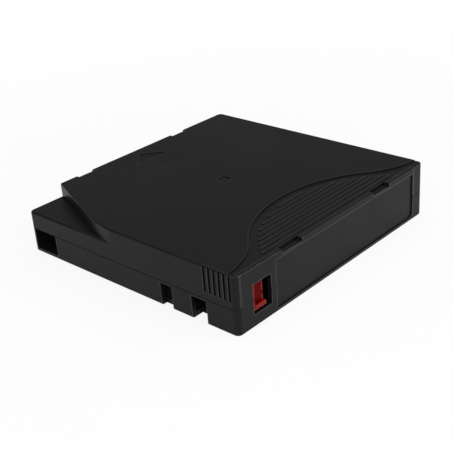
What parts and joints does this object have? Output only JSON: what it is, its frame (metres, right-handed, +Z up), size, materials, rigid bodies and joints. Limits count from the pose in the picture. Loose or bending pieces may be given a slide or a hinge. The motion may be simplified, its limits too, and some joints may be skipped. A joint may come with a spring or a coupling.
{
  "type": "data tape cartridge",
  "caption": "Square black single-reel data tape cartridge with a ribbed grip, stepped front corner, side grip grooves, sliding door and red write protect switch.",
  "frame": {"origin": "centre of the bottom of the case", "axes": "+X to the right of the label as it is read, +Y the way the cartridge goes into a drive, +Z up from the base to the ribbed roof"},
  "size_m": [0.1054, 0.102, 0.0215],
  "materials": {
    "case_plastic": "fine moulded texture",
    "switch_plastic": "satin",
    "door_plastic": "smooth satin",
    "reel_plastic": "satin",
    "brake_plastic": "satin",
    "clip_plastic": "satin",
    "tape_film": "smooth",
    "screw_steel": "zinc plated",
    "plate_steel": "brushed",
    "pin_steel": "ground",
    "spring_steel": "drawn wire",
    "board_laminate": "solder mask",
    "chip_resin": "moulded resin",
    "coil_copper": "bright copper"
  },
  "bodies": {
    "case": {"top_shell": "case_plastic", "bottom_shell": "case_plastic", "shell_screws": "screw_steel", "memory_board": "board_laminate", "memory_chip": "chip_resin", "memory_coil": "coil_copper", "tape_lead": "tape_film", "leader_pin": "pin_steel", "pin_clip": "clip_plastic", "pin_spring": "spring_steel", "brake_spring": "spring_steel", "door_spring": "spring_steel"},
    "reel": {"reel_hub": "reel_plastic", "upper_flange": "reel_plastic", "reel_plate": "plate_steel", "tape_pack": "tape_film"},
    "spider": {"release_spider": "brake_plastic"},
    "brake": {"brake_button": "brake_plastic"},
    "door": {"door": "door_plastic"},
    "switch": {"write_protect_slider": "switch_plastic"}
  },
  "joints": [
    {"name": "reel_turn", "type": "hinge", "parent": "case", "child": "reel", "pos_m": [0, 0.0006, 0.0024], "axis": [0, 0, 1], "continuous": true},
    {"name": "release_lift", "type": "slide", "parent": "reel", "child": "spider", "axis": [0, 0, 1], "range_m": [0, 0.0015]},
    {"name": "brake_lift", "type": "slide", "parent": "case", "child": "brake", "axis": [0, 0, 1], "range_m": [0, 0.0015], "stiffness_N_per_m": 300, "springref_m": -0.005, "deforming": ["brake_spring"]},
    {"name": "door_slide", "type": "slide", "parent": "case", "child": "door", "axis": [0, -1, 0], "range_m": [0, 0.015], "stiffness_N_per_m": 20, "springref_m": -0.02, "deforming": ["door_spring"]},
    {"name": "protect_slide", "type": "slide", "parent": "case", "child": "switch", "axis": [1, 0, 0], "range_m": [0, 0.00215]}
  ],
  "couplings": [
    {"joint": "brake_lift", "follows": "release_lift", "ratio": 1}
  ]
}
